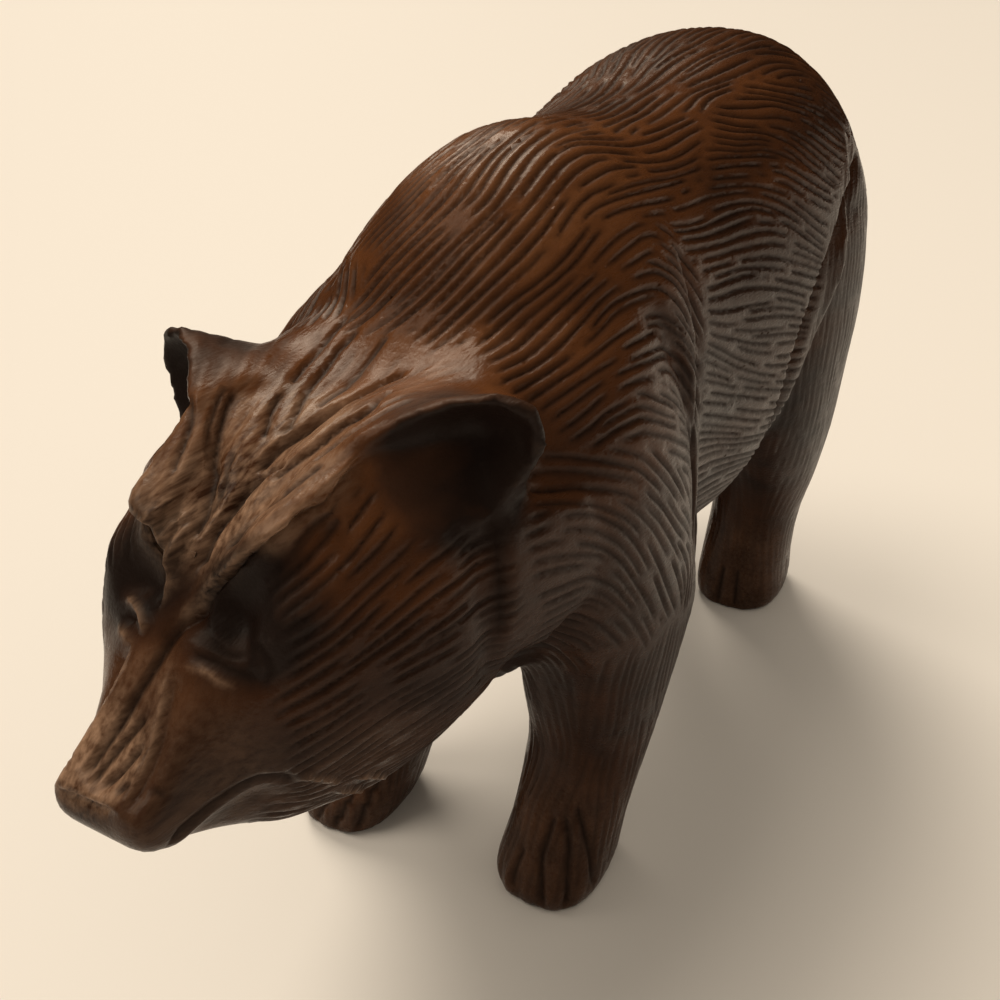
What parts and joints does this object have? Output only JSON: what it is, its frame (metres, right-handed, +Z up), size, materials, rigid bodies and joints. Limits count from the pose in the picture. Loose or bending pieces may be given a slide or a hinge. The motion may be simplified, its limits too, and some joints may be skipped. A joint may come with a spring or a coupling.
{
  "type": "carved wooden bear",
  "caption": "Statue of a walking bear with its head held low, carved from one block of dark wood with a gouged fur pattern, standing on its own feet.",
  "frame": {"origin": "on the ground, under the middle of the bear's length and width", "axes": "+Z up, the bear faces -Y and its left side is at +X"},
  "size_m": [0.1034, 0.3, 0.1981],
  "materials": {
    "wood": "dark brown stain, satin with worn lighter ridges"
  },
  "bodies": {
    "root": {"bear": "wood"}
  },
  "joints": []
}
